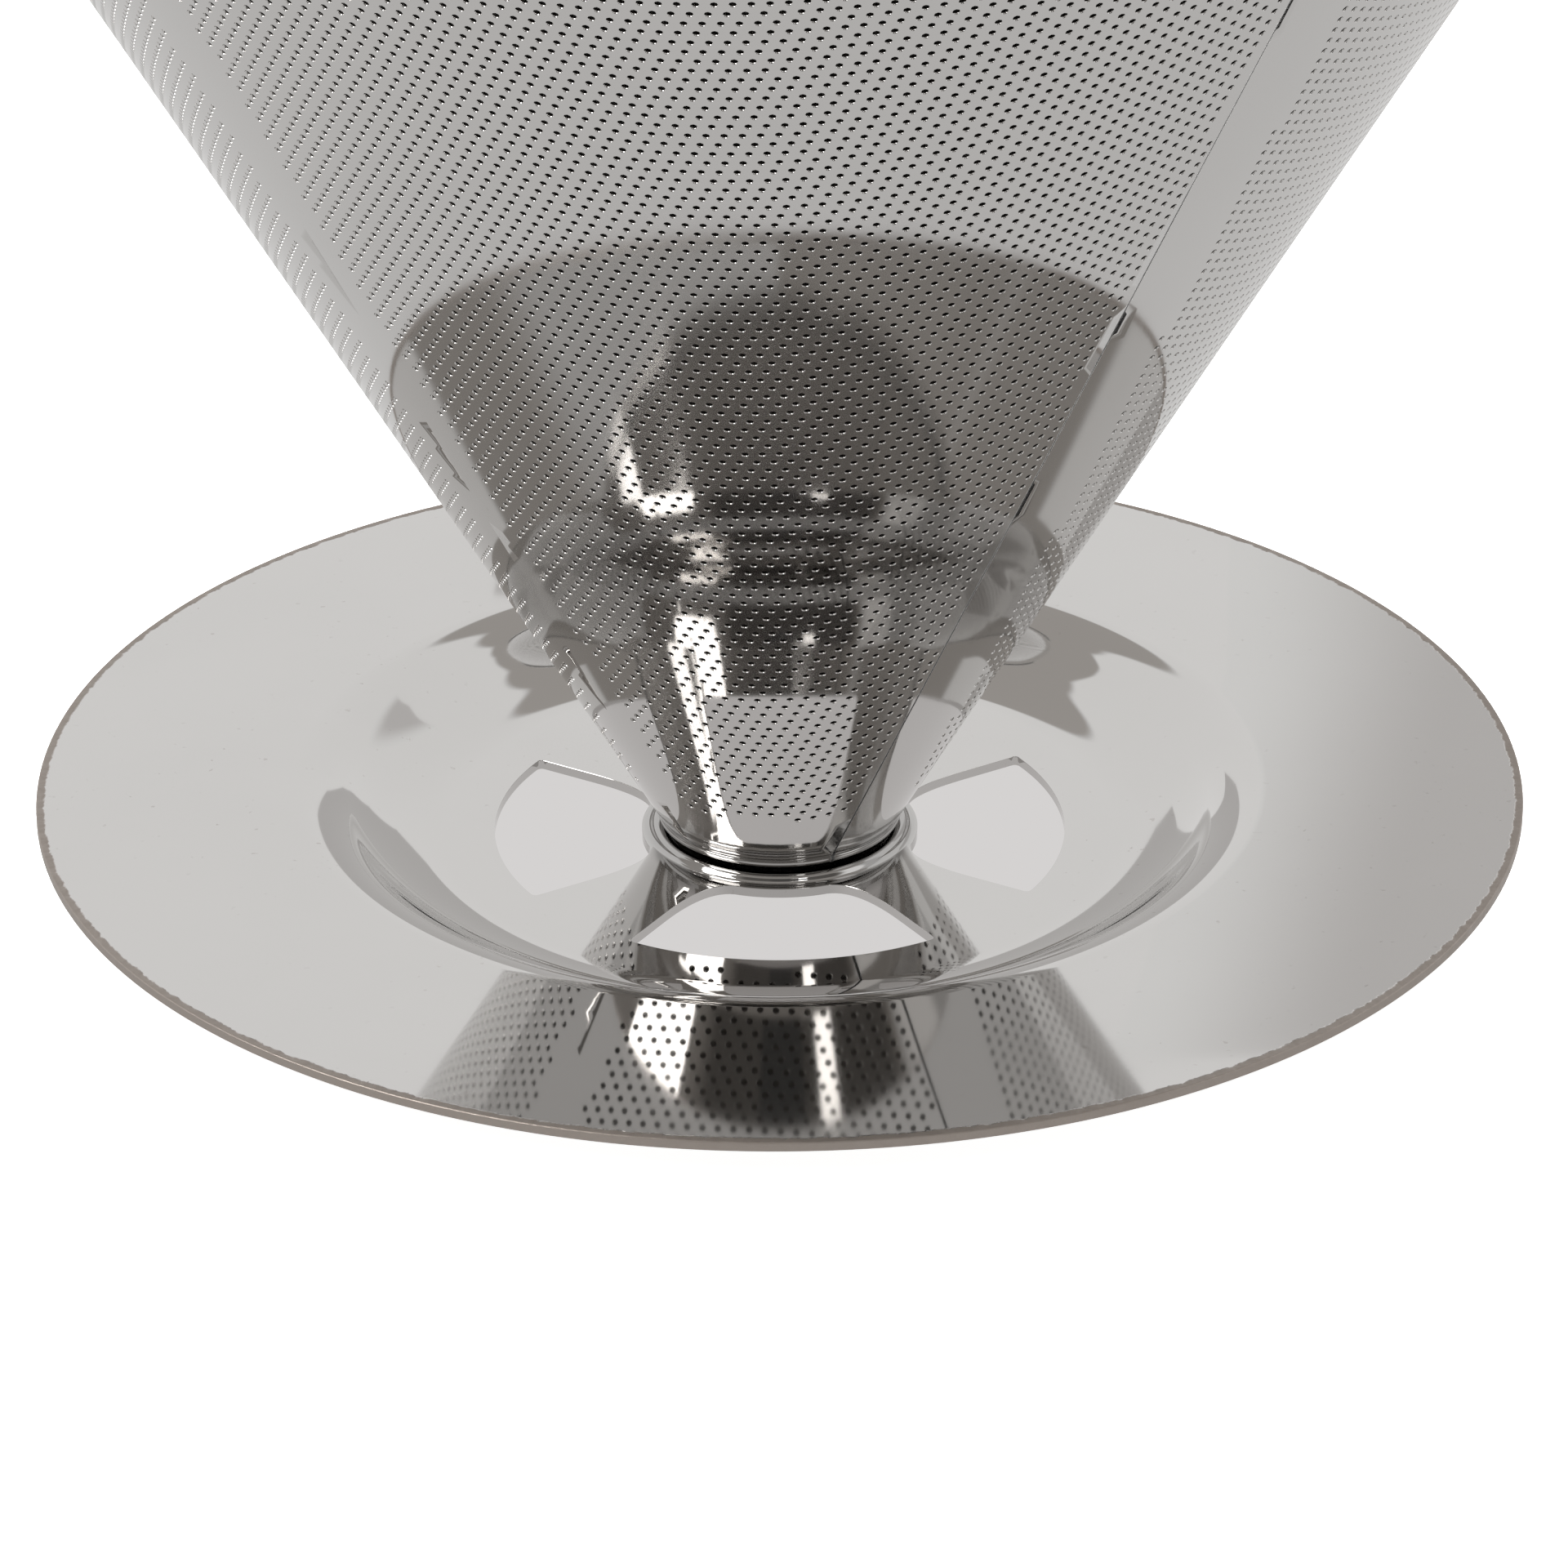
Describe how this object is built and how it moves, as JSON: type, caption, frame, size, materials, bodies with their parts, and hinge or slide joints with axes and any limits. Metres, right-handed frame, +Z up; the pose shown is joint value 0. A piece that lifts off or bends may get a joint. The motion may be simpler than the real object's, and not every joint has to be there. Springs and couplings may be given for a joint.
{
  "type": "pour over dripper",
  "caption": "Paperless pour-over dripper: a perforated steel cone with a fine mesh inside, screwed onto a saucer-shaped cup stand with drip windows.",
  "frame": {"origin": "on the cone's axis, in the plane of the underside of the stand's floor, which is the lowest flat face", "axes": "+Z up along the cone's axis, from the stand to the rim; -Y is the side towards the viewer, and the drip windows face +X, +Y, -X and -Y"},
  "size_m": [0.1372, 0.1372, 0.1042],
  "materials": {
    "stand_steel": "mirror-polished stainless steel",
    "cone_steel": "mirror-polished perforated stainless steel",
    "mesh_steel": "fine woven stainless mesh",
    "rim_steel": "polished rolled steel band",
    "cup_steel": "pressed stainless steel",
    "fastener_steel": "plain turned steel",
    "silicone": "soft black silicone"
  },
  "bodies": {
    "stand": {"cup_stand": "stand_steel", "hub_stud": "fastener_steel"},
    "washer": {"foot_washer": "silicone"},
    "cone": {"outer_cone": "cone_steel", "inner_mesh": "mesh_steel", "rim_band": "rim_steel", "foot_cup": "cup_steel", "foot_nut": "fastener_steel", "tip_cover": "cup_steel"}
  },
  "joints": [
    {"name": "cone_rise", "type": "slide", "parent": "stand", "child": "washer", "axis": [0, 0, 1], "range_m": [0, 0.0035]},
    {"name": "cone_turn", "type": "hinge", "parent": "washer", "child": "cone", "pos_m": [0, 0, 0.00185], "axis": [0, 0, 1], "range_deg": [0, 1800]}
  ],
  "couplings": [
    {"joint": "cone_rise", "follows": "cone_turn", "m_per_rad": 0.00011141}
  ]
}
